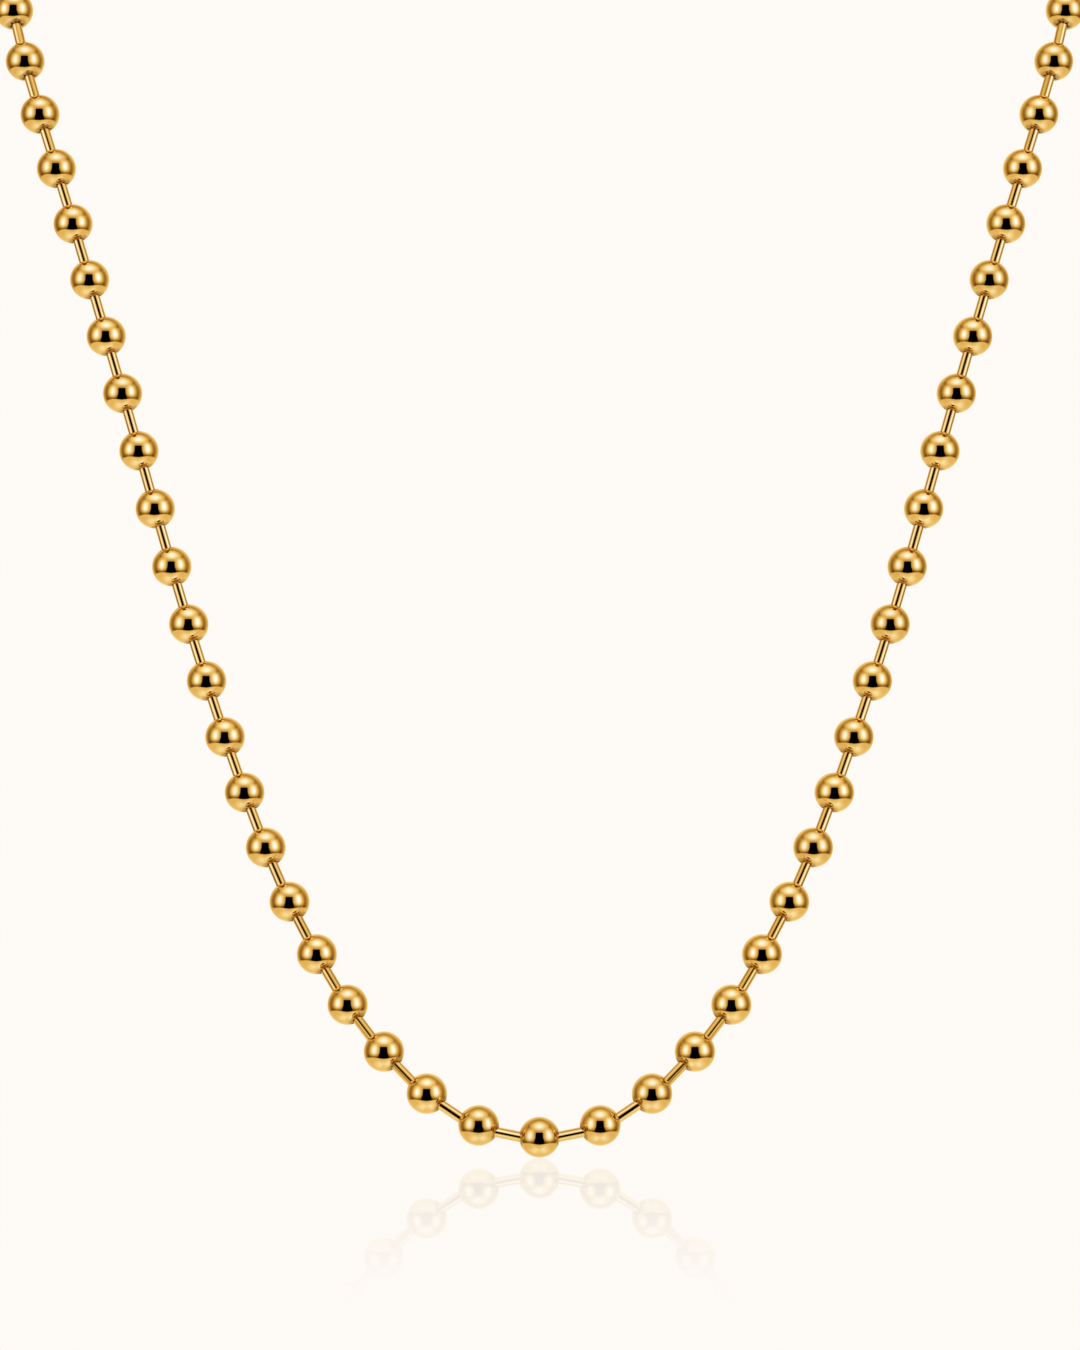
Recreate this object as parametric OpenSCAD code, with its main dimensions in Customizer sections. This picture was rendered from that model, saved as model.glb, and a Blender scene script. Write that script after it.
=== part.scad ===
// Ball chain necklace: hollow balls strung on short headed links, closed by a barrel at the nape.
// All lengths are in millimetres, all angles in degrees.
// The frame has its origin in the middle of the barrel, where the loop hangs on the nape.
// +Z is up, -Y is the front and +X is to the right for someone who looks at the front.

/* [Balls] */
// Outside diameter of a ball
ball_d = 4; // [3.8:0.1:5]
// Thickness of a ball's wall
ball_wall = 0.3; // [0.2:0.05:0.35]
// Number of balls on each side of the one at the bottom centre
side_balls = 37; // [33:1:42]
// Width of the bevel around each mouth of a ball
mouth_bevel = 0.12; // [0.06:0.02:0.14]

/* [Links] */
// Diameter of a link's pin
link_d = 1.05; // [0.9:0.05:1.15]
// Bare length of pin between two balls on a straight run
link_gap = 2.15; // [1.8:0.05:2.6]
// Room between the pin and the edge of a mouth
mouth_clear = 0.15; // [0.14:0.01:0.18]
// How far a head reaches past the edge of a mouth
head_catch = 0.12; // [0.08:0.02:0.16]
// Thickness of a head
head_t = 0.3; // [0.2:0.05:0.35]
// Room between a head and the inside of its ball
head_clear = 0.1; // [0.1:0.01:0.14]
// Furthest that a link swings in a mouth
swing = 14; // [12:1:15]

/* [Clasp] */
// Room around a ball in the barrel
seat_clear = 0.15; // [0.1:0.01:0.2]
// How far a held ball sits past the edge of the entry
seat_shift = 0.25; // [0.1:0.05:0.5]
// Room around a ball on its way in
entry_clear = 0.25; // [0.22:0.01:0.3]
// Thickness of the barrel's side
barrel_wall = 0.45; // [0.35:0.05:0.6]
// Thickness of the barrel's ends
end_wall = 0.6; // [0.4:0.05:0.8]
// Width of the rounding around each end
end_round = 1; // [0.6:0.1:1.2]
// Room beside a pin in the slot along the barrel
slot_clear = 0.15; // [0.1:0.01:0.2]
// Room around a pin in the hole through each end
exit_clear = 0.4; // [0.35:0.05:0.5]

/* [Hidden] */

gold = [0.86, 0.64, 0.29];
pale_gold = [0.93, 0.76, 0.43];

// Straight steps that the curve takes from one guide point to the next
curve_steps = 24;

// How far a cutting shape runs past the face that it opens
cut_over = 1;
$fn = 48;

// Guide points of the route of one side, as [across, back, up] from the ball at the bottom centre.
// A smooth curve follows them without touching them, from the bottom centre to the nape.
route = [
    [0, -0.5, -0.5],
    [3.5, 0.5, 0.5],
    [8, 0.5, 1],
    [17, 4, 9],
    [23, 8, 18.5],
    [28, 11, 28.5],
    [35.5, 17.5, 49.5],
    [41, 18, 69.5],
    [48.5, 22, 94.5],
    [54, 26.5, 111],
    [56, 33.5, 123],
    [54.5, 42, 133.5],
    [49, 52.5, 142.5],
    [39.5, 63.5, 148],
    [26, 72.5, 151.5],
    [12.5, 77, 152.5],
    [0, 77.5, 152.5]
];

// Sizes of a ball and its mouths
ball_r = ball_d / 2;
hollow_r = ball_r - ball_wall;
link_r = link_d / 2;
mouth_r = link_r + mouth_clear;
bevel_r = mouth_r + mouth_bevel;
bevel_top = sqrt(ball_r ^ 2 - bevel_r ^ 2);
mouth_out = sqrt(ball_r ^ 2 - mouth_r ^ 2);
mouth_in = sqrt(hollow_r ^ 2 - mouth_r ^ 2);
mouth_at = (mouth_out + mouth_in) / 2;

// Sizes of a link: the heads stay clear of the wall when the link swings about its mouth
pitch = ball_d + link_gap;
head_r = mouth_r + head_catch;
sway = 2 * mouth_at * sin(swing / 2);
head_reach = hollow_r - head_clear - sway;
head_face = sqrt(head_reach ^ 2 - head_r ^ 2);
link_len = pitch - 2 * (head_face - head_t);

// Sizes of the barrel
bore_r = ball_r + seat_clear;
barrel_r = bore_r + barrel_wall;
entry_r = ball_r + entry_clear;
seat_x = entry_r + ball_r + seat_shift;
bore_half = seat_x + ball_r + seat_clear;
barrel_half = bore_half + end_wall;
dome_r = norm([barrel_half, barrel_r - end_round]);
slot_w = link_d + 2 * slot_clear;
exit_r = link_r + exit_clear;

// A point of the uniform cubic curve that four guide points steer, for t from 0 to 1
function steered(a, b, c, d, t) =
    ((1 - t) ^ 3 * a + (3 * t ^ 3 - 6 * t ^ 2 + 4) * b
        + (3 * t ^ 2 - 3 * t ^ 3 + 3 * t + 1) * c + t ^ 3 * d) / 6;

function across(p) = [-p.x, p.y, p.z];
function unit(v) = v / norm(v);

// Length from point i of a list to the next, and nothing past the last
function step_len(pts, i) = i + 1 < len(pts) ? norm(pts[i + 1] - pts[i]) : 0;

// Lengths along a line of points, from its first point to each point
function runs(pts) = [for (i = 0, s = 0; i < len(pts); s = s + step_len(pts, i), i = i + 1) s];

// The route with its mirrored neighbours at both ends, then the curve and its lengths
last_guide = len(route) - 1;
guides = concat([across(route[1])], route, [across(route[last_guide - 1])]);
curve = [
    for (i = [0 : last_guide - 1])
        for (s = [0 : curve_steps])
            if (s < curve_steps || i == last_guide - 1)
                steered(guides[i], guides[i + 1], guides[i + 2], guides[i + 3], s / curve_steps)
];
curve_runs = runs(curve);
curve_len = curve_runs[len(curve) - 1];

// The curve grows or shrinks as a whole until one side of the chain fits it
chain_half = side_balls * pitch + seat_x;
fit = chain_half / curve_len;

// The point at a length s along the fitted curve
function on_route(s) =
    [for (k = [0 : 2]) fit * lookup(s / fit, [for (i = [0 : len(curve) - 1]) [curve_runs[i], curve[i][k]]])];

// Centres of all balls, from the end at the left of the nape to the end at its right
nape = on_route(side_balls * pitch);
side = [for (i = [0 : side_balls]) on_route(i * pitch) - [0, nape.y, nape.z]];
centres = concat([for (i = [side_balls : -1 : 1]) across(side[i])], side);
last_ball = len(centres) - 1;

// Directions of the balls' mouths, along the chain
function heading(i) = unit(centres[min(i + 1, last_ball)] - centres[max(i - 1, 0)]);
headings = [for (i = [0 : last_ball]) heading(i)];

// Puts children along the line at p, with their Z along the unit direction d and their Y to the back
module lay(p, d) {
    side_way = unit(cross([0, 1, 0], d));
    back_way = cross(d, side_way);
    multmatrix([
        [side_way.x, back_way.x, d.x, p.x],
        [side_way.y, back_way.y, d.y, p.y],
        [side_way.z, back_way.z, d.z, p.z],
        [0, 0, 0, 1]
    ])
        children();
}

// One hollow ball, with a bevelled mouth at each end of its Z axis
module ball() {
    difference() {
        sphere(r = ball_r);
        sphere(r = hollow_r);
        cylinder(r = mouth_r, h = ball_d + cut_over, center = true);
        for (end = [0, 1])
            mirror([0, 0, end])
                translate([0, 0, bevel_top - mouth_bevel])
                    cylinder(r1 = mouth_r, r2 = bevel_r + mouth_bevel, h = 2 * mouth_bevel);
    }
}

// One link along Z: a pin with a flat head at each end
module link() {
    cylinder(r = link_r, h = link_len - head_t, center = true);
    for (end = [-1, 1])
        translate([0, 0, end * (link_len - head_t) / 2])
            cylinder(r = head_r, h = head_t, center = true);
}

module balls() {
    color(gold)
        for (i = [0 : last_ball])
            lay(centres[i], headings[i])
                ball();
}

// Each link runs from the mouth of one ball to the mouth of the next
module links() {
    color(pale_gold)
        for (i = [0 : last_ball - 1]) {
            from_mouth = centres[i] + mouth_at * headings[i];
            to_mouth = centres[i + 1] - mouth_at * headings[i + 1];
            lay((from_mouth + to_mouth) / 2, unit(to_mouth - from_mouth))
                link();
        }
}

// A round rod or hole along X, centred on the barrel
module barrel_rod(r, half) {
    rotate([90, 0, 90])
        cylinder(r = r, h = 2 * half, center = true);
}

// The barrel that holds the two end balls, with its entry and slot towards the neck
module clasp() {
    color(gold)
        difference() {
            intersection() {
                barrel_rod(barrel_r, barrel_half);
                rotate([90, 0, 90])
                    sphere(r = dome_r);
            }
            barrel_rod(bore_r, bore_half);
            barrel_rod(exit_r, barrel_half + cut_over);
            translate([0, seat_clear, 0])
                rotate([90, 0, 0])
                    cylinder(r = entry_r, h = barrel_r + cut_over);
            translate([-barrel_half - cut_over, -barrel_r - cut_over, -slot_w / 2])
                cube([2 * (barrel_half + cut_over), barrel_r + cut_over - exit_r / 2, slot_w]);
        }
}

balls();
links();
clasp();
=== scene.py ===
import math
import random

import bmesh
import bpy
import numpy as np
from mathutils import Matrix


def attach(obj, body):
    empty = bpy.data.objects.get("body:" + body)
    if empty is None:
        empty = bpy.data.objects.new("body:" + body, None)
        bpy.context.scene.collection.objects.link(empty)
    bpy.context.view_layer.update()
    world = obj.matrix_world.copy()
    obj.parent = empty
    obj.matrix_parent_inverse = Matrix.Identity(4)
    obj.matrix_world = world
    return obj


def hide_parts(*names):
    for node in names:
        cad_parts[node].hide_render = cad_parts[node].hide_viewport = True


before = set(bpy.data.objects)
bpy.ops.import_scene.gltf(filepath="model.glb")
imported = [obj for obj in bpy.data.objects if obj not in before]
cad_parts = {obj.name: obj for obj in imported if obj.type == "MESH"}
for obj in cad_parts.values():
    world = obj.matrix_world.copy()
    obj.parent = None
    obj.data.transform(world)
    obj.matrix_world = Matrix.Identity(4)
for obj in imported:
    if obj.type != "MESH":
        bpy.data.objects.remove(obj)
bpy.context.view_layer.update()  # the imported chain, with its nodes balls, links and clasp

mm = 0.001


# The run of the chain

chainRun = {
    "ballDiameter": 4.0,  # millimetres, as the other lengths here
    "linkGap": 2.15,
    "sideBalls": 37,
    "seatX": 4.5,
    "curveSteps": 24,
    "guides": [  # across, back and up from the lowest ball, the same points as in the part's source
        (0, -0.5, -0.5), (3.5, 0.5, 0.5), (8, 0.5, 1), (17, 4, 9), (23, 8, 18.5), (28, 11, 28.5),
        (35.5, 17.5, 49.5), (41, 18, 69.5), (48.5, 22, 94.5), (54, 26.5, 111), (56, 33.5, 123),
        (54.5, 42, 133.5), (49, 52.5, 142.5), (39.5, 63.5, 148), (26, 72.5, 151.5), (12.5, 77, 152.5),
        (0, 77.5, 152.5),
    ],
}


def steeredPoint(a, b, c, d, t):
    return ((1 - t) ** 3 * a + (3 * t ** 3 - 6 * t ** 2 + 4) * b
            + (3 * t ** 2 - 3 * t ** 3 + 3 * t + 1) * c + t ** 3 * d) / 6


def unit(vector):
    return vector / np.linalg.norm(vector)


def ballCentres(run):
    mirrored = np.array((-1, 1, 1))
    guides = np.array(run["guides"], float)
    guides = np.vstack([guides[1] * mirrored, guides, guides[-2] * mirrored])
    steps = run["curveSteps"]
    spans = range(len(guides) - 3)
    curve = [steeredPoint(*guides[i:i + 4], s / steps) for i in spans for s in range(steps)]
    curve = np.array(curve + [steeredPoint(*guides[-4:], 1.0)])
    runs = np.concatenate([[0], np.cumsum(np.linalg.norm(np.diff(curve, axis=0), axis=1))])
    pitch = run["ballDiameter"] + run["linkGap"]
    fit = (run["sideBalls"] * pitch + run["seatX"]) / runs[-1]
    places = np.arange(run["sideBalls"] + 1) * pitch / fit
    side = fit * np.stack([np.interp(places, runs, curve[:, k]) for k in range(3)], axis=1)
    side = side - np.array((0, side[-1][1], side[-1][2]))  # the nape is at the origin
    return np.vstack([side[:0:-1] * mirrored, side])


centres = ballCentres(chainRun)
lastBall = len(centres) - 1
headings = [unit(centres[min(i + 1, lastBall)] - centres[max(i - 1, 0)]) for i in range(lastBall + 1)]
lowestBall = centres[lastBall // 2]
print("chain run:", len(centres), "balls, lowest at", [round(float(x), 2) for x in lowestBall])


def laidOut(points, place, heading):  # points with Z along the chain and Y to the back
    sideWay = unit(np.cross((0, 1, 0), heading))
    turn = np.stack([sideWay, np.cross(heading, sideWay), heading], axis=1)
    return points @ turn.T + place


# Turned shapes

def turnedPoints(rings, segments):  # each ring is a radius and a height, or one of each per segment
    angles = np.arange(segments) * 2 * math.pi / segments
    rows = []
    for radius, height in rings:
        radius = np.broadcast_to(radius, segments)
        height = np.broadcast_to(height, segments)
        rows.append(np.stack([radius * np.cos(angles), radius * np.sin(angles), height], axis=1))
    return np.vstack(rows)


def turnedFaces(ringCount, segments, closed):
    faces = []
    for ring in range(ringCount if closed else ringCount - 1):
        this, other = ring * segments, (ring + 1) % ringCount * segments
        for s in range(segments):
            t = (s + 1) % segments
            faces.append((this + s, this + t, other + t, other + s))
    if not closed:
        faces.append(tuple(range(segments - 1, -1, -1)))
        faces.append(tuple(range((ringCount - 1) * segments, ringCount * segments)))
    return faces


def meshPiece(name, points, faces, marks, material, node):
    mesh = bpy.data.meshes.new(name)
    mesh.from_pydata((points * mm).tolist(), [], faces)
    for markName, values in marks.items():
        mark = mesh.attributes.new(markName, "FLOAT", "POINT")
        mark.data.foreach_set("value", np.asarray(values, np.float32))
    mesh.shade_smooth()
    mesh.materials.append(material)
    piece = bpy.data.objects.new(name, mesh)
    bpy.context.scene.collection.objects.link(piece)
    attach(piece, "root")
    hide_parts(node)
    print(name, "has", len(mesh.polygons), "faces")
    return piece


# Shared shader groups

def newGroup(name, inputs, outputs):
    group = bpy.data.node_groups.new(name, "ShaderNodeTree")
    for socketName, socketType, value in inputs:
        socket = group.interface.new_socket(name=socketName, in_out="INPUT", socket_type=socketType)
        socket.default_value = value
    for socketName, socketType in outputs:
        group.interface.new_socket(name=socketName, in_out="OUTPUT", socket_type=socketType)
    return group, group.nodes.new("NodeGroupInput"), group.nodes.new("NodeGroupOutput")


def calc(tree, operation, *values):  # one Math node, its values being numbers or sockets
    node = tree.nodes.new("ShaderNodeMath")
    node.operation = operation
    for socket, value in zip(node.inputs, values):
        if isinstance(value, (int, float)):
            socket.default_value = value
        else:
            tree.links.new(value, socket)
    return node.outputs[0]


def total(tree, *values):
    for value in values[1:]:
        values = (calc(tree, "ADD", values[0], value),)
    return values[0]


def product(tree, *values):
    for value in values[1:]:
        values = (calc(tree, "MULTIPLY", values[0], value),)
    return values[0]


def ramped(tree, value, fromMin, fromMax, toMin=0.0, toMax=1.0):  # a smooth step between two levels
    node = tree.nodes.new("ShaderNodeMapRange")
    node.interpolation_type = "SMOOTHSTEP"
    tree.links.new(value, node.inputs["Value"])
    socketNames = ("From Min", "From Max", "To Min", "To Max")
    for socketName, level in zip(socketNames, (fromMin, fromMax, toMin, toMax)):
        node.inputs[socketName].default_value = level
    return node.outputs["Result"]


def noiseValue(tree, vector, scale, detail, roughness=0.5):
    node = tree.nodes.new("ShaderNodeTexNoise")
    node.inputs["Detail"].default_value = detail
    node.inputs["Roughness"].default_value = roughness
    tree.links.new(vector, node.inputs["Vector"])
    if isinstance(scale, (int, float)):
        node.inputs["Scale"].default_value = scale
    else:
        tree.links.new(scale, node.inputs["Scale"])
    return node.outputs["Fac"]


def mixedColour(tree, factor, first, second):
    node = tree.nodes.new("ShaderNodeMix")
    node.data_type = "RGBA"
    tree.links.new(factor, node.inputs["Factor"])
    for value, socketName in ((first, "A"), (second, "B")):
        socket = [s for s in node.inputs if s.name == socketName and s.type == "RGBA"][0]
        if isinstance(value, tuple):
            socket.default_value = value
        else:
            tree.links.new(value, socket)
    return [s for s in node.outputs if s.type == "RGBA"][0]


toneValues = {
    "cloudDetail": 3.0,
    "cloudRange": (0.35, 0.75),  # noise levels between which the drift of tone grows
    "cloudShare": 0.08,  # how far it may go towards the deep tone
    "pieceShare": 0.05,  # the same from piece to piece
}
polishValues = {
    "waveDetail": 2.0,
    "waveRange": (0.4, 0.7),  # noise levels between which a wave counts as worn
    "hairDetail": 4.0,
    "hairRoughness": 0.6,
    "hairStretch": (1.0, 0.2, 6.0),
    "hairTurn": (0.4, 0.7, 0.2),
    "hairRange": (0.55, 0.8),
    "hairDepth": 0.06,
    "dullRoughness": 0.26,  # added where the metal is dull
}


def makeGoldToneAndShade():  # a base colour that drifts a little over the surface and from piece to piece, and goes towards the deep tone as painted shade where its shade mark is high
    group, start, end = newGroup(
        "goldToneAndShade",
        [("Base", "NodeSocketColor", (0.93, 0.62, 0.22, 1)),
         ("Deep", "NodeSocketColor", (0.8, 0.45, 0.1, 1)),
         ("Vector", "NodeSocketVector", (0, 0, 0)), ("Cloud Scale", "NodeSocketFloat", 500.0),
         ("Piece Shift", "NodeSocketFloat", 0.0), ("Painted Shade", "NodeSocketFloat", 0.0)],
        [("Color", "NodeSocketColor")])
    detail = toneValues["cloudDetail"]
    cloud = noiseValue(group, start.outputs["Vector"], start.outputs["Cloud Scale"], detail)
    drift = product(group, ramped(group, cloud, *toneValues["cloudRange"]), toneValues["cloudShare"])
    pieceDrift = product(group, start.outputs["Piece Shift"], toneValues["pieceShare"])
    shifted = total(group, drift, pieceDrift)
    # painted shade: the shade mark darkens the gold just as the drift of tone does
    mask = calc(group, "MAXIMUM", shifted, start.outputs["Painted Shade"])
    mask.node.use_clamp = True
    colour = mixedColour(group, mask, start.outputs["Base"], start.outputs["Deep"])
    group.links.new(colour, end.inputs["Color"])
    return group


def makePolishMarks():  # the soft waves and hairlines that polishing leaves
    group, start, end = newGroup(
        "polishMarks",
        [("Vector", "NodeSocketVector", (0, 0, 0)), ("Wave Scale", "NodeSocketFloat", 700.0),
         ("Hair Scale", "NodeSocketFloat", 4000.0), ("Smooth", "NodeSocketFloat", 0.03),
         ("Rough", "NodeSocketFloat", 0.09), ("Dull", "NodeSocketFloat", 0.0)],
        [("Roughness", "NodeSocketFloat"), ("Height", "NodeSocketFloat")])
    stretch = group.nodes.new("ShaderNodeMapping")
    stretch.inputs["Scale"].default_value = polishValues["hairStretch"]
    stretch.inputs["Rotation"].default_value = polishValues["hairTurn"]
    group.links.new(start.outputs["Vector"], stretch.inputs["Vector"])
    wave = noiseValue(group, start.outputs["Vector"], start.outputs["Wave Scale"],
                      polishValues["waveDetail"])
    hair = noiseValue(group, stretch.outputs["Vector"], start.outputs["Hair Scale"],
                      polishValues["hairDetail"], polishValues["hairRoughness"])
    hairMask = ramped(group, hair, *polishValues["hairRange"])
    height = total(group, wave, product(group, hairMask, polishValues["hairDepth"]))
    group.links.new(height, end.inputs["Height"])
    worn = ramped(group, wave, *polishValues["waveRange"])
    wear = product(group, total(group, worn, hairMask), 0.5)  # the mean of both
    spread = calc(group, "SUBTRACT", start.outputs["Rough"], start.outputs["Smooth"])
    dulled = product(group, start.outputs["Dull"], polishValues["dullRoughness"])
    roughness = total(group, start.outputs["Smooth"], product(group, wear, spread), dulled)
    group.links.new(roughness, end.inputs["Roughness"])
    return group


goldToneAndShade = makeGoldToneAndShade()
polishMarks = makePolishMarks()


def placedGroup(tree, group, values):
    node = tree.nodes.new("ShaderNodeGroup")
    node.node_tree = group
    for socketName, value in values.items():
        if isinstance(value, (int, float, tuple)):
            node.inputs[socketName].default_value = value
        else:
            tree.links.new(value, node.inputs[socketName])
    return node.outputs


def markValue(tree, markName):
    node = tree.nodes.new("ShaderNodeAttribute")
    node.attribute_name = markName
    return node.outputs["Fac"]


def goldMaterial(name, look):
    material = bpy.data.materials.new(name)
    material.use_nodes = True
    tree = material.node_tree
    shader = tree.nodes["Principled BSDF"]
    shader.inputs["Metallic"].default_value = 1.0
    shader.inputs["Specular Tint"].default_value = look["edgeTint"]
    where = tree.nodes.new("ShaderNodeTexCoord").outputs["Object"]
    tone = placedGroup(tree, goldToneAndShade, {
        "Base": look["base"], "Deep": look["deep"], "Vector": where, "Cloud Scale": look["cloudScale"],
        "Piece Shift": markValue(tree, "pieceShift"), "Painted Shade": markValue(tree, "paintedShade")})
    marks = placedGroup(tree, polishMarks, {
        "Vector": where, "Wave Scale": look["waveScale"], "Hair Scale": look["hairScale"],
        "Smooth": look["smooth"], "Rough": look["rough"], "Dull": markValue(tree, "dull")})
    tree.links.new(tone["Color"], shader.inputs["Base Color"])
    tree.links.new(marks["Roughness"], shader.inputs["Roughness"])
    bump = tree.nodes.new("ShaderNodeBump")
    bump.inputs["Strength"].default_value = look["bumpStrength"]
    bump.inputs["Distance"].default_value = look["bumpDistance"]
    tree.links.new(marks["Height"], bump.inputs["Height"])
    tree.links.new(bump.outputs["Normal"], shader.inputs["Normal"])
    return material


# Balls

ballShape = {
    "radius": 2.0,  # millimetres, as the other lengths here
    "hollowRadius": 1.7,
    "segments": 72,
    "bandRings": 26,  # rings from one mouth's shoulder to the other's
    "shoulderRadius": 0.98,
    "petals": 6,
    "petalTip": 0.57,  # radius of the mouth at the tips of its petals
    "petalNotch": 0.7,  # and at the notches between them
    "groove": 0.06,  # depth of the dents between the petals
    "grooveEnd": 0.96,
    "lipFlare": 0.06,  # how far the lip opens towards the hollow
    "lipDepths": (0.24, 0.1),  # its straight part, down from the ball's surface
    "lipRounding": ((0.025, 0.035), (0.075, 0.006)),  # out from the lip, and down from the surface
    "waveFade": ((0.6, 0.35), (0.3, 0.63)),  # the next two rings: a share of the lip, and a length
    "innerAngles": (35, 58, 90, 122, 145),
    "shadeDepth": 0.12,  # depth under the surface at which the painted shade down in a mouth is full
    "shadeFrom": 1.15,  # radius at which the painted shade round a mouth begins, and how soon it is full
    "shadeFade": 0.25,
    "shadeShare": 0.75,
    "dullFrom": 1.3,  # the same for the duller metal round it
    "dullFade": 0.4,
    "toneSeed": 11,
    "pieces": ("balls_left", "balls_front", "balls_right"),
}
ballLook = {
    "base": (0.99, 0.7, 0.275, 1),
    "deep": (0.45, 0.25, 0.07, 1),
    "edgeTint": (1.0, 0.86, 0.6, 1),
    "cloudScale": 420.0,
    "waveScale": 350.0,
    "hairScale": 2500.0,
    "smooth": 0.022,
    "rough": 0.045,
    "bumpStrength": 0.15,
    "bumpDistance": 0.00002,
}


def ballRings(shape):
    radius, hollow = shape["radius"], shape["hollowRadius"]
    angles = np.arange(shape["segments"]) * 2 * math.pi / shape["segments"]
    notch = np.maximum(0, np.cos(shape["petals"] * angles)) ** 2
    lip = shape["petalTip"] + (shape["petalNotch"] - shape["petalTip"]) * notch
    onBall = lambda r: np.sqrt(radius ** 2 - r ** 2)
    dentFade = lambda r: np.clip((shape["grooveEnd"] - r) / (shape["grooveEnd"] - lip), 0, 1)
    dent = lambda r: shape["groove"] * notch * dentFade(r)
    flared = lip + shape["lipFlare"]
    mouth = [(flared, np.sqrt(hollow ** 2 - flared ** 2))]  # from the hollow out over the lip
    mouth += [(lip, onBall(lip) - down) for down in shape["lipDepths"]]
    for out, down in shape["lipRounding"]:
        mouth.append((lip + out, onBall(lip + out) - down - dent(lip + out)))
    for share, start in shape["waveFade"]:
        ring = lip * share + start
        mouth.append((ring, onBall(ring) - dent(ring)))
    shoulder = math.asin(shape["shoulderRadius"] / radius)
    band = np.linspace(shoulder, math.pi - shoulder, shape["bandRings"])
    outside = [(radius * math.sin(a), radius * math.cos(a)) for a in band]
    inside = [(hollow * math.sin(math.radians(a)), hollow * math.cos(math.radians(a)))
              for a in reversed(shape["innerAngles"])]
    return mouth + outside + [(r, -h) for r, h in reversed(mouth)] + inside


def makeBalls(shape, material):
    rings = ballRings(shape)
    points = turnedPoints(rings, shape["segments"])
    faces = np.array(turnedFaces(len(rings), shape["segments"], True))
    around = np.hypot(points[:, 0], points[:, 1])
    depth = shape["radius"] - np.linalg.norm(points, axis=1)
    # painted shade in and round each mouth, where the hollow and the link shade the gold
    dented = np.clip(depth / shape["shadeDepth"], 0, 1)
    nearMouth = np.clip((shape["shadeFrom"] - around) / shape["shadeFade"], 0, 1)
    paintedShade = dented * shape["shadeShare"] + nearMouth * shape["shadeShare"]
    dull = np.clip((shape["dullFrom"] - around) / shape["dullFade"], 0, 1)
    toner = random.Random(shape["toneSeed"])
    perPiece = (lastBall + 1) // len(shape["pieces"])
    for number, name in enumerate(shape["pieces"]):
        own = range(number * perPiece, (number + 1) * perPiece)
        allPoints = np.vstack([laidOut(points, centres[i], headings[i]) for i in own])
        allFaces = np.vstack([faces + k * len(points) for k in range(len(own))])
        shift = np.repeat([toner.uniform(-1, 1) for _ in own], len(points))
        marks = {"pieceShift": shift, "paintedShade": np.tile(paintedShade, len(own)),
                 "dull": np.tile(dull, len(own))}
        meshPiece(name, allPoints, allFaces.tolist(), marks, material, "balls")


makeBalls(ballShape, goldMaterial("ballGold", ballLook))


# Links

linkShape = {
    "mouthAt": 1.72,  # distance of a link's turning point from the centre of its ball, in millimetres
    "length": 5.004,
    "pinRadius": 0.525,
    "headRadius": 0.795,
    "headThickness": 0.3,
    "headFlat": 0.3,  # from the rim in to a ring on the head's flat end
    "rimEdge": 0.08,  # rounding of the rim at the end, and how far its middle point is set back
    "rimSoft": 0.02,
    "backEdge": (0.05, 0.06),  # chamfer at the back of the head
    "neckEdge": 0.1,  # rounding from the head to the pin, and how far its middle point is set back
    "neckSoft": 0.03,
    "neckRun": 0.3,  # from the head's back to the ring after that rounding
    "pinRing": 1.0,  # from the middle to the ring nearest to it
    "segments": 40,
    "backLean": 0.75,  # share of an upright link's lean to the back that its shine follows
    "flatBackLean": 0.25,  # the same for a link that lies flat
    "flatSpread": 0.75,  # how much further up and down a flat link's shine spreads
    "shadeFrom": 1.15,  # distance from the middle at which a link's painted shade begins, towards the ends in the balls' mouths, and how soon it is full
    "shadeFade": 0.5,
    "shadeShare": 0.7,
    "toneSeed": 5,
}
linkLook = {
    "base": (1.0, 0.715, 0.275, 1),
    "deep": (0.45, 0.25, 0.07, 1),
    "edgeTint": (1.0, 0.86, 0.6, 1),
    "cloudScale": 600.0,
    "waveScale": 500.0,
    "hairScale": 3500.0,
    "smooth": 0.09,
    "rough": 0.14,
    "bumpStrength": 0.15,
    "bumpDistance": 0.00002,
}


def linkRings(shape):
    half, head, pin = shape["length"] / 2, shape["headRadius"], shape["pinRadius"]
    back = half - shape["headThickness"]
    rim, rimSoft = shape["rimEdge"], shape["rimSoft"]
    neck, neckSoft = shape["neckEdge"], shape["neckSoft"]
    chamferIn, chamferUp = shape["backEdge"]
    end = [  # from the middle of one end out to the pin
        (head - shape["headFlat"], half), (head - rim, half), (head - rimSoft, half - rimSoft),
        (head, half - rim), (head, back + chamferUp), (head - chamferIn, back), (pin + neck, back),
        (pin + neckSoft, back - neckSoft), (pin, back - neck), (pin, back - shape["neckRun"]),
        (pin, shape["pinRing"]),
    ]
    return [(r, -h) for r, h in end] + [(pin, 0.0)] + list(reversed(end))


def pointNormals(points, faces):
    mesh = bpy.data.meshes.new("scratch")
    mesh.from_pydata(points.tolist(), [], faces)
    normals = np.array([vertex.normal for vertex in mesh.vertices])
    bpy.data.meshes.remove(mesh)
    return normals


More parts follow.
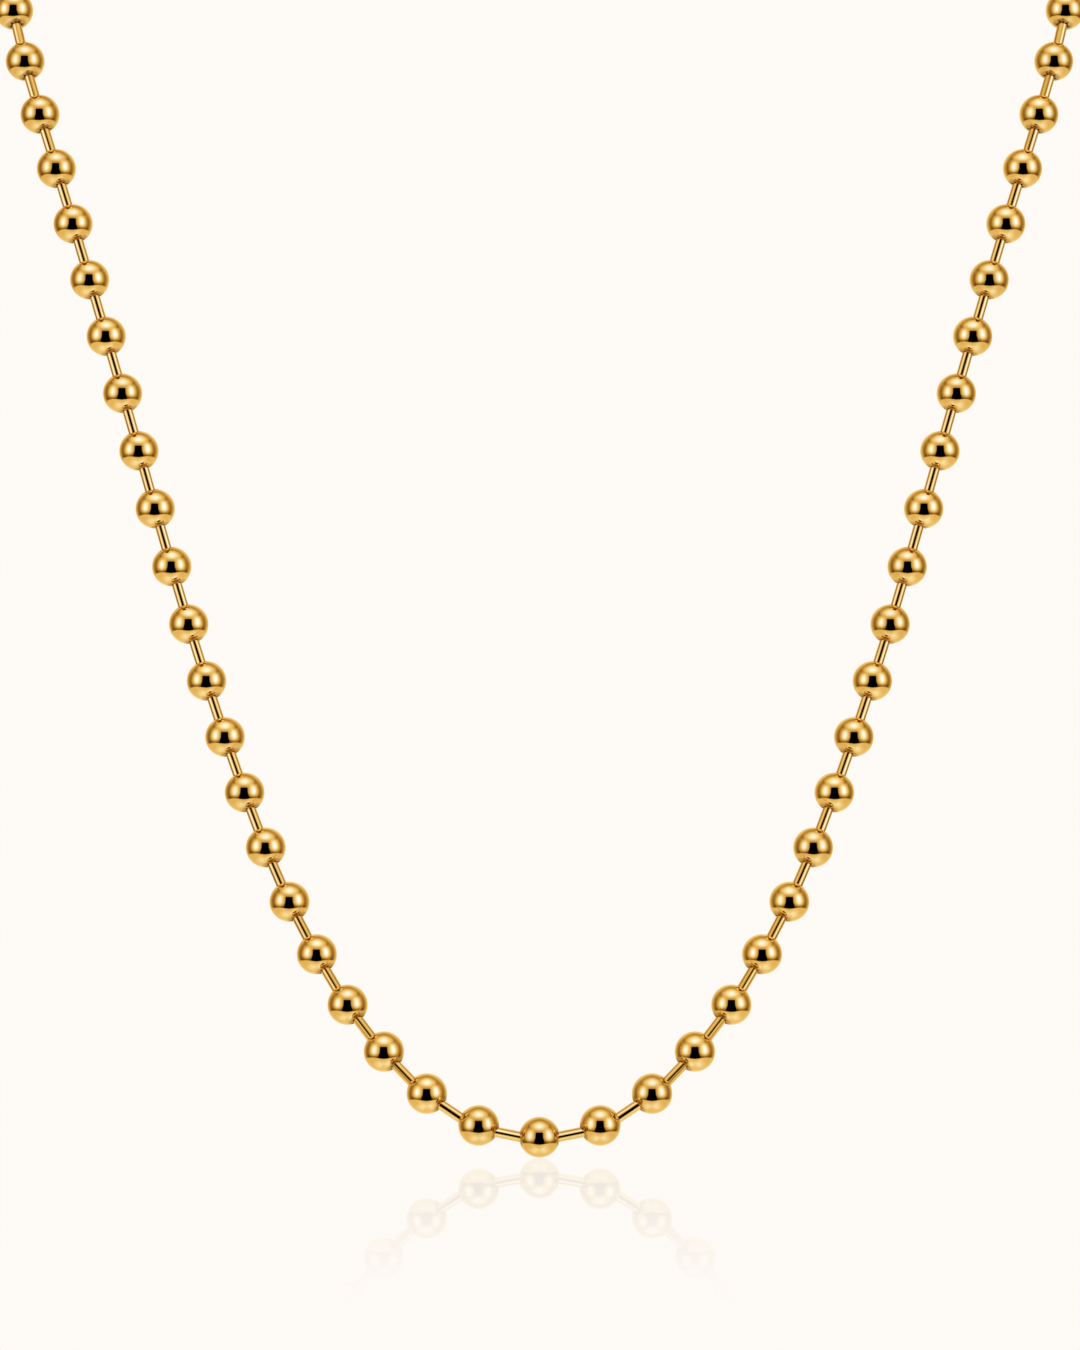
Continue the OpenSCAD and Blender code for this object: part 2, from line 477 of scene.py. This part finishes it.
def makeLinks(shape, material):
    rings = linkRings(shape)
    points = turnedPoints(rings, shape["segments"])
    faces = turnedFaces(len(rings), shape["segments"], False)
    along = np.abs(points[:, 2])
    # painted shade towards each end, where the link goes into a ball's mouth
    paintedShade = np.clip((along - shape["shadeFrom"]) / shape["shadeFade"], 0, 1) * shape["shadeShare"]
    toner = random.Random(shape["toneSeed"])
    normals = pointNormals(points, faces)
    allPoints, allNormals, allFaces, shifts = [], [], [], []
    for i in range(lastBall):
        fromMouth = centres[i] + shape["mouthAt"] * headings[i]
        toMouth = centres[i + 1] - shape["mouthAt"] * headings[i + 1]
        lean = unit(toMouth - fromMouth)
        allPoints.append(laidOut(points, (fromMouth + toMouth) / 2, lean))
        flat = lean[0] ** 2
        backLean = shape["backLean"] + (shape["flatBackLean"] - shape["backLean"]) * flat
        spread = (1, 1, 1 + shape["flatSpread"] * flat ** 2)
        shine = laidOut(normals, 0, unit(lean * (1, backLean, 1))) * spread
        allNormals.append(shine / np.linalg.norm(shine, axis=1)[:, None])
        allFaces += [tuple(v + i * len(points) for v in face) for face in faces]
        shifts.append(toner.uniform(-1, 1))
    marks = {"pieceShift": np.repeat(shifts, len(points)), "paintedShade": np.tile(paintedShade, lastBall)}
    links = meshPiece("links_all", np.vstack(allPoints), allFaces, marks, material, "links")
    links.data.normals_split_custom_set_from_vertices(np.vstack(allNormals).tolist())


makeLinks(linkShape, goldMaterial("linkGold", linkLook))


# Barrel at the nape

barrelShape = {
    "radius": 2.6,  # millimetres, as the other lengths here
    "half": 7.25,
    "flatEnd": 1.6,  # radius of the flat at each end
    "boreRadius": 2.15,
    "boreHalf": 6.65,
    "exitRadius": 0.925,
    "entryRadius": 2.25,
    "entryFrom": 0.15,
    "slotWidth": 1.35,
    "overshoot": 1,  # how far the cutters reach past the body
    "edge": 0.07,  # rounding of the cut edges
    "edgeSteps": 3,
    "edgeAngle": 35,  # only edges sharper than this are rounded, in degrees
    "smoothAngle": 32,
    "segments": 96,
    "domeSteps": 6,
    "bands": (5.0, 2.5, 0.0, -2.5, -5.0),  # rings along the straight part
    "shadeBelow": 0.12,  # depth under the surface at which the painted shade inside the barrel begins, and how soon it is full
    "shadeFade": 0.3,
    "shadeShare": 0.7,
    "endFrom": 0.1,  # less of that painted shade from this far past the bore, at the exits
    "endShare": 0.4,
}
barrelLook = {
    "base": (0.98, 0.7, 0.285, 1),
    "deep": (0.45, 0.25, 0.07, 1),
    "edgeTint": (1.0, 0.86, 0.6, 1),
    "cloudScale": 300.0,
    "waveScale": 260.0,
    "hairScale": 2200.0,
    "smooth": 0.05,
    "rough": 0.13,
    "bumpStrength": 0.3,
    "bumpDistance": 0.00003,
}


def scratchObject(name, mesh):
    thing = bpy.data.objects.new(name, mesh)
    bpy.context.scene.collection.objects.link(thing)
    return thing


def barrelBody(shape):
    dome = math.hypot(shape["half"], shape["flatEnd"])
    count = shape["domeSteps"]
    steps = [shape["flatEnd"] + (shape["radius"] - shape["flatEnd"]) * k / count for k in range(count + 1)]
    end = [(shape["exitRadius"], shape["half"])] + [(r, math.sqrt(dome ** 2 - r ** 2)) for r in steps]
    middle = [(shape["radius"], x) for x in shape["bands"]]
    inside = [(shape["exitRadius"], -shape["boreHalf"]), (shape["boreRadius"], -shape["boreHalf"]),
              (shape["boreRadius"], shape["boreHalf"]), (shape["exitRadius"], shape["boreHalf"])]
    rings = end + middle + [(r, -x) for r, x in reversed(end)] + inside
    points = turnedPoints(rings, shape["segments"])[:, (2, 0, 1)]  # turned about X
    mesh = bpy.data.meshes.new("barrelBody")
    mesh.from_pydata(points.tolist(), [], turnedFaces(len(rings), shape["segments"], True))
    return scratchObject("barrelBody", mesh)


def barrelCutters(shape):
    form = bmesh.new()
    reach = shape["radius"] + shape["overshoot"]
    slotLength, slotDepth = 2 * shape["half"] + 2 * shape["overshoot"], reach - shape["exitRadius"] / 2
    slotSize = (slotLength, slotDepth, shape["slotWidth"])
    entryPlace = Matrix.Translation((0, shape["entryFrom"] - reach / 2, 0))
    bmesh.ops.create_cone(form, cap_ends=True, segments=shape["segments"], radius1=shape["entryRadius"],
                          radius2=shape["entryRadius"], depth=reach,
                          matrix=entryPlace @ Matrix.Rotation(math.pi / 2, 4, "X"))
    entry = bpy.data.meshes.new("entryCutter")
    form.to_mesh(entry)
    form.clear()
    slotPlace = Matrix.Translation((0, -(shape["exitRadius"] / 2 + reach) / 2, 0))
    bmesh.ops.create_cube(form, size=1, matrix=slotPlace @ Matrix.Diagonal((*slotSize, 1)))
    slot = bpy.data.meshes.new("slotCutter")
    form.to_mesh(slot)
    form.free()
    return [scratchObject("entryCutter", entry), scratchObject("slotCutter", slot)]


def makeBarrel(shape, material):
    body = barrelBody(shape)
    cutters = barrelCutters(shape)
    for cutter in cutters:
        cut = body.modifiers.new(cutter.name, "BOOLEAN")
        cut.operation, cut.solver, cut.object = "DIFFERENCE", "EXACT", cutter
    edge = body.modifiers.new("edge", "BEVEL")
    edge.width, edge.segments = shape["edge"], shape["edgeSteps"]
    edge.limit_method, edge.angle_limit = "ANGLE", math.radians(shape["edgeAngle"])
    bpy.context.view_layer.update()
    made = body.evaluated_get(bpy.context.evaluated_depsgraph_get()).to_mesh()
    points = np.array([v.co for v in made.vertices], float)
    faces = [tuple(p.vertices) for p in made.polygons]
    around = np.hypot(points[:, 1], points[:, 2])
    # painted shade on the inside of the barrel, where the bore and slot lie in shade
    inside = np.clip((shape["radius"] - shape["shadeBelow"] - around) / shape["shadeFade"], 0, 1)
    inside[np.abs(points[:, 0]) > shape["boreHalf"] + shape["endFrom"]] *= shape["endShare"]
    marks = {"pieceShift": np.zeros(len(points)), "paintedShade": inside * shape["shadeShare"]}
    for scrap in [body, *cutters]:
        bpy.data.objects.remove(scrap)
    barrel = meshPiece("barrel", points, faces, marks, material, "clasp")
    barrel.data.update()
    barrel.data.set_sharp_from_angle(angle=math.radians(shape["smoothAngle"]))


makeBarrel(barrelShape, goldMaterial("barrelGold", barrelLook))


# Studio: a light tent round the chain, a pale floor that mirrors it faintly, and the camera

studio = {
    "paper": (0.9911, 0.956, 0.919, 1),  # the pale backdrop and floor
    "tentRadius": 3.0,  # metres
    "tentSteps": 5,
    "tentCentre": (0, -0.04, -0.08),
    "floorBelow": 0.00202,  # from the lowest ball's centre down to the floor
    "floorSize": 8.0,
    "mirrorShare": (0.138, 0.156, 0.192),  # of red, green and blue
    "mirrorFull": -0.095,  # how far to the front the mirroring is full, and where it ends
    "mirrorEnd": -0.228,
    "mirrorBack": (0.02, 0.1),
}
tent = {  # azimuths from the camera's side, elevations and spreads in degrees, levels of light
    "leftGlow": {"azimuth": -57, "elevation": 8.5, "across": 27.5, "up": 27, "level": 1.54},
    "rightGlow": {"azimuth": 57.5, "elevation": 10.5, "across": 28.5, "up": 28, "level": 1.62},
    "highGlow": {"azimuth": 88, "elevation": 46, "across": 32, "up": 22, "level": 0.2},  # on both sides
    "tableGlow": {"azimuth": 40, "elevation": -52, "across": 25, "up": 20, "level": 0.1},
    "glowPowers": (1.7, 3.0),  # how suddenly a glow ends across and up
    "crown": {
        "elevation": 68,
        "spread": 38,
        "level": 1.48,
        "lowShare": (18, 62, 0.3, 1.0),  # two elevations, with their shares of light
        "foot": (22, 30),  # elevations between which the crown sets in
    },
    "wallLevel": 0.02,
    "backWall": (94, 168, 0.0, 0.9),  # azimuths between which the back wall brightens, and its levels
    "backFade": (27, 68, 1.0, 0.0),  # elevations between which it fades
    "fold": {  # a dimmer band round the sides
        "elevation": 42,
        "spread": 6,
        "depth": 0.42,
        "begins": (64, 98),  # azimuths to each side
        "ends": (108, 135, 1.0, 0.0),
    },
    "tableEdge": (-39, -25),  # elevation of the table's far edge straight ahead and at the sides
    "edgeRise": {"reach": 95, "most": 1.42, "power": 1.25},  # how it goes from the one to the other
    "edgeSwell": {"height": 2.3, "azimuth": 65, "spread": 28},  # and stands higher on the way
    "edgeShade": (0, 14, 0.8, 1.0),  # the walls are dimmer just above that edge
    "shadeEnds": (110, 140, 1.0, 0.0),  # azimuths to each side
    "edgeSoft": (-3.5, 2.5, 1.0, 0.0),  # how far under and over the edge the table ends
    "nearTable": {
        "depth": (-74, -40, 1.02, 0.66),  # two elevations, with their levels
        "beside": (12, 42, 1.0, 1.15),  # azimuths to each side, with their shares
        "sides": (50, 80, 1.0, 0.93),
    },
    "rearTable": {
        "begins": (105, 150),  # azimuths to each side
        "level": 0.82,
        "lift": 0.2,  # added to it right behind and high up
        "middle": (140, 170),
        "height": (-60, -30),
    },
    "underneath": (-90, -70, 1.0, 0.0),  # where the table's light evens out below the chain
    "underLevel": 0.86,
    "card": {  # the dark card ahead
        "middle": -1,
        "halfWidth": (-34, 4, 33, 21.5),  # two elevations, with their half widths
        "top": (28.0, 30.4),
        "soft": (-1.5, 2.5),  # how far inside and outside its sides it ends
    },
}
clothTint = {
    "redGain": 1.34,
    "red": 1.06,
    "green": 0.92,
    "blue": 0.275,
    "blueCubed": 0.54,  # the share of the level's third power, and of its sixth
    "blueSixth": 0.054,
}


def directionOf(azimuth, elevation):
    a, e = math.radians(azimuth), math.radians(elevation)
    return (math.cos(e) * math.sin(a), -math.cos(e) * math.cos(a), math.sin(e))


def makeGlowGroup():  # a soft glow on the tent's cloth, wider than high or the other way round
    group, start, end = newGroup(
        "clothGlow",
        [("Azimuth", "NodeSocketFloat", 0.0), ("Elevation", "NodeSocketFloat", 0.0),
         ("Middle Azimuth", "NodeSocketFloat", 0.0), ("Middle Elevation", "NodeSocketFloat", 0.0),
         ("Across", "NodeSocketFloat", 30.0), ("Up", "NodeSocketFloat", 30.0),
         ("Level", "NodeSocketFloat", 1.0)],
        [("Glow", "NodeSocketFloat")])
    falls = []
    for name, spread, power in zip(("Azimuth", "Elevation"), ("Across", "Up"), tent["glowPowers"]):
        off = calc(group, "SUBTRACT", start.outputs[name], start.outputs["Middle " + name])
        ratio = calc(group, "DIVIDE", calc(group, "ABSOLUTE", off), start.outputs[spread])
        falls.append(calc(group, "POWER", ratio, power))
    fall = calc(group, "EXPONENT", product(group, total(group, *falls), -1.0))
    group.links.new(product(group, fall, start.outputs["Level"]), end.inputs["Glow"])
    return group


def inverse(tree, value):
    return calc(tree, "SUBTRACT", 1.0, value)


def blended(tree, share, first, second):
    return total(tree, product(tree, first, inverse(tree, share)), product(tree, second, share))


def bell(tree, value, middle, spread):  # 1 at the middle, falling off to both sides
    off = product(tree, total(tree, value, -middle), 1 / spread)
    return calc(tree, "EXPONENT", product(tree, off, off, -1.0))


def glowOn(tree, group, glow, azimuth, elevation):
    return placedGroup(tree, group, {
        "Azimuth": azimuth, "Elevation": elevation, "Middle Azimuth": glow["azimuth"],
        "Middle Elevation": glow["elevation"], "Across": glow["across"], "Up": glow["up"],
        "Level": glow["level"]})["Glow"]


def crownGlow(tree, crown, direction, elevation):
    dot = tree.nodes.new("ShaderNodeVectorMath")
    dot.operation = "DOT_PRODUCT"
    tree.links.new(direction, dot.inputs[0])
    dot.inputs[1].default_value = directionOf(0, crown["elevation"])
    angle = calc(tree, "DEGREES", calc(tree, "ARCCOSINE", dot.outputs["Value"]))
    return product(tree, bell(tree, angle, 0, crown["spread"]), crown["level"],
                   ramped(tree, elevation, *crown["lowShare"]), ramped(tree, elevation, *crown["foot"]))


def edgeElevation(tree, side):  # how high the table's far edge stands at each side
    ahead, sides = tent["tableEdge"]
    rise, swell = tent["edgeRise"], tent["edgeSwell"]
    reached = calc(tree, "MINIMUM", product(tree, side, 1 / rise["reach"]), rise["most"])
    risen = product(tree, calc(tree, "POWER", reached, rise["power"]), sides - ahead)
    swollen = product(tree, bell(tree, side, swell["azimuth"], swell["spread"]), swell["height"])
    return total(tree, risen, swollen, ahead)


def wallLight(tree, glows, side, elevation, aboveEdge):
    fold = tent["fold"]
    back = product(tree, ramped(tree, side, *tent["backWall"]), ramped(tree, elevation, *tent["backFade"]))
    dip = product(tree, bell(tree, elevation, fold["elevation"], fold["spread"]),
                  ramped(tree, side, *fold["begins"]), ramped(tree, side, *fold["ends"]), fold["depth"])
    shade = calc(tree, "POWER", ramped(tree, aboveEdge, *tent["edgeShade"]),
                 ramped(tree, side, *tent["shadeEnds"]))
    return product(tree, total(tree, *glows, back, tent["wallLevel"]), inverse(tree, dip), shade)


def tableLight(tree, glow, side, elevation):
    near, rear = tent["nearTable"], tent["rearTable"]
    nearLight = product(tree, ramped(tree, elevation, *near["depth"]), ramped(tree, side, *near["beside"]),
                        ramped(tree, side, *near["sides"]))
    rearLift = product(tree, ramped(tree, side, *rear["middle"]), ramped(tree, elevation, *rear["height"]),
                       rear["lift"])
    table = blended(tree, ramped(tree, side, *rear["begins"]), total(tree, nearLight, glow),
                    total(tree, rearLift, rear["level"]))
    return blended(tree, ramped(tree, elevation, *tent["underneath"]), table, tent["underLevel"])


def clearOfCard(tree, card, azimuth, elevation, onTable):  # 0 on the dark card and 1 outside it
    offMiddle = calc(tree, "ABSOLUTE", total(tree, azimuth, -card["middle"]))
    pastSide = calc(tree, "SUBTRACT", offMiddle, ramped(tree, elevation, *card["halfWidth"]))
    overOrUnder = calc(tree, "MAXIMUM", ramped(tree, elevation, *card["top"]), onTable)
    return calc(tree, "MAXIMUM", overOrUnder, ramped(tree, pastSide, *card["soft"]))


def tentLevel(tree, direction):
    parts = tree.nodes.new("ShaderNodeSeparateXYZ")
    tree.links.new(direction, parts.inputs["Vector"])
    x, y, z = parts.outputs
    azimuth = calc(tree, "DEGREES", calc(tree, "ARCTAN2", x, product(tree, y, -1.0)))
    side = calc(tree, "ABSOLUTE", azimuth)
    elevation = calc(tree, "DEGREES", calc(tree, "ARCSINE", z))
    group = makeGlowGroup()
    glows = [glowOn(tree, group, tent[name], turn, elevation)
             for name, turn in (("leftGlow", azimuth), ("rightGlow", azimuth), ("highGlow", side))]
    glows.append(crownGlow(tree, tent["crown"], direction, elevation))
    aboveEdge = calc(tree, "SUBTRACT", elevation, edgeElevation(tree, side))
    onTable = ramped(tree, aboveEdge, *tent["edgeSoft"])
    tableGlow = glowOn(tree, group, tent["tableGlow"], azimuth, elevation)
    level = blended(tree, onTable, wallLight(tree, glows, side, elevation, aboveEdge),
                    tableLight(tree, tableGlow, side, elevation))
    return product(tree, level, clearOfCard(tree, tent["card"], azimuth, elevation, onTable))


def clothLight(tree, level):  # warm where the cloth is dim, cool white where it glows
    tint = clothTint
    red = product(tree, calc(tree, "TANH", product(tree, level, tint["redGain"])), tint["red"])
    green = product(tree, level, tint["green"])
    cubed = product(tree, level, level, level, tint["blueCubed"])
    sixth = product(tree, calc(tree, "POWER", level, 6.0), tint["blueSixth"])
    blue = total(tree, product(tree, level, tint["blue"]), cubed, sixth)
    joined = tree.nodes.new("ShaderNodeCombineColor")
    for value, socket in zip((red, green, blue), joined.inputs):
        tree.links.new(value, socket)
    return joined.outputs["Color"]


def makeTent():
    material = bpy.data.materials.new("tentCloth")
    material.use_nodes = True
    tree = material.node_tree
    tree.nodes.clear()
    where = tree.nodes.new("ShaderNodeTexCoord").outputs["Object"]
    direction = tree.nodes.new("ShaderNodeVectorMath")
    direction.operation = "NORMALIZE"
    tree.links.new(where, direction.inputs[0])
    glow = tree.nodes.new("ShaderNodeEmission")
    tree.links.new(clothLight(tree, tentLevel(tree, direction.outputs["Vector"])), glow.inputs["Color"])
    plain = tree.nodes.new("ShaderNodeEmission")
    plain.inputs["Color"].default_value = studio["paper"]
    either = tree.nodes.new("ShaderNodeMixShader")  # the floor mirrors plain paper round the chain
    tree.links.new(tree.nodes.new("ShaderNodeLightPath").outputs["Is Singular Ray"], either.inputs["Fac"])
    tree.links.new(glow.outputs["Emission"], either.inputs[1])
    tree.links.new(plain.outputs["Emission"], either.inputs[2])
    out = tree.nodes.new("ShaderNodeOutputMaterial")
    tree.links.new(either.outputs["Shader"], out.inputs["Surface"])
    material.cycles.emission_sampling = "NONE"
    form = bmesh.new()
    bmesh.ops.create_icosphere(form, subdivisions=studio["tentSteps"], radius=studio["tentRadius"])
    mesh = bpy.data.meshes.new("lightTent")
    form.to_mesh(mesh)
    form.free()
    mesh.materials.append(material)
    cloth = scratchObject("lightTent", mesh)
    cloth.location = studio["tentCentre"]
    cloth.visible_camera = cloth.visible_shadow = False


def makeFloor():
    material = bpy.data.materials.new("paleFloor")
    material.use_nodes = True
    tree = material.node_tree
    tree.nodes.clear()
    parts = tree.nodes.new("ShaderNodeSeparateXYZ")
    tree.links.new(tree.nodes.new("ShaderNodeTexCoord").outputs["Object"], parts.inputs["Vector"])
    towardFront = ramped(tree, parts.outputs["Y"], studio["mirrorEnd"], studio["mirrorFull"])
    towardBack = ramped(tree, parts.outputs["Y"], *studio["mirrorBack"], 1.0, 0.0)
    share = tree.nodes.new("ShaderNodeVectorMath")
    share.operation = "SCALE"
    share.inputs[0].default_value = studio["mirrorShare"]
    tree.links.new(product(tree, towardFront, towardBack), share.inputs["Scale"])
    left = tree.nodes.new("ShaderNodeVectorMath")  # paper less the share that is mirrored
    left.operation = "MULTIPLY_ADD"
    tree.links.new(share.outputs["Vector"], left.inputs[0])
    left.inputs[1].default_value = [-value for value in studio["paper"][:3]]
    left.inputs[2].default_value = studio["paper"][:3]
    paper = tree.nodes.new("ShaderNodeEmission")
    tree.links.new(left.outputs["Vector"], paper.inputs["Color"])
    mirror = tree.nodes.new("ShaderNodeBsdfGlossy")
    mirror.inputs["Roughness"].default_value = 0.0
    tree.links.new(share.outputs["Vector"], mirror.inputs["Color"])
    both = tree.nodes.new("ShaderNodeAddShader")
    tree.links.new(paper.outputs["Emission"], both.inputs[0])
    tree.links.new(mirror.outputs["BSDF"], both.inputs[1])
    out = tree.nodes.new("ShaderNodeOutputMaterial")
    tree.links.new(both.outputs["Shader"], out.inputs["Surface"])
    material.cycles.emission_sampling = "NONE"
    half, below = studio["floorSize"] / 2, lowestBall[2] * mm - studio["floorBelow"]
    mesh = bpy.data.meshes.new("floor")
    corners = [(-half, -half, below), (half, -half, below), (half, half, below), (-half, half, below)]
    mesh.from_pydata(corners, [], [(0, 1, 2, 3)])
    mesh.materials.append(material)
    floor = scratchObject("floor", mesh)
    floor.visible_glossy = floor.visible_diffuse = floor.visible_shadow = False


def makeWorld():
    world = bpy.data.worlds.new("paperWorld")
    world.use_nodes = True
    world.node_tree.nodes["Background"].inputs["Color"].default_value = studio["paper"]
    bpy.context.scene.world = world


makeTent()
makeFloor()
makeWorld()
print("studio: tent, floor and backdrop")

cameraSetup = {
    "place": (0.000055, -0.6574, -0.1072),  # metres
    "lens": 157.0,
    "sensor": 36.0,  # along the picture's long side
    "clip": (0.01, 50.0),
}


def makeCamera(setup):
    camera = bpy.data.objects.new("camera", bpy.data.cameras.new("camera"))
    bpy.context.scene.collection.objects.link(camera)
    camera.data.lens, camera.data.sensor_width = setup["lens"], setup["sensor"]
    camera.data.clip_start, camera.data.clip_end = setup["clip"]
    camera.location = setup["place"]
    camera.rotation_euler = (math.pi / 2, 0, 0)
    bpy.context.scene.camera = camera


makeCamera(cameraSetup)
bpy.context.scene.view_settings.view_transform = "Standard"
bpy.context.scene.view_settings.look = "None"
print("camera set")
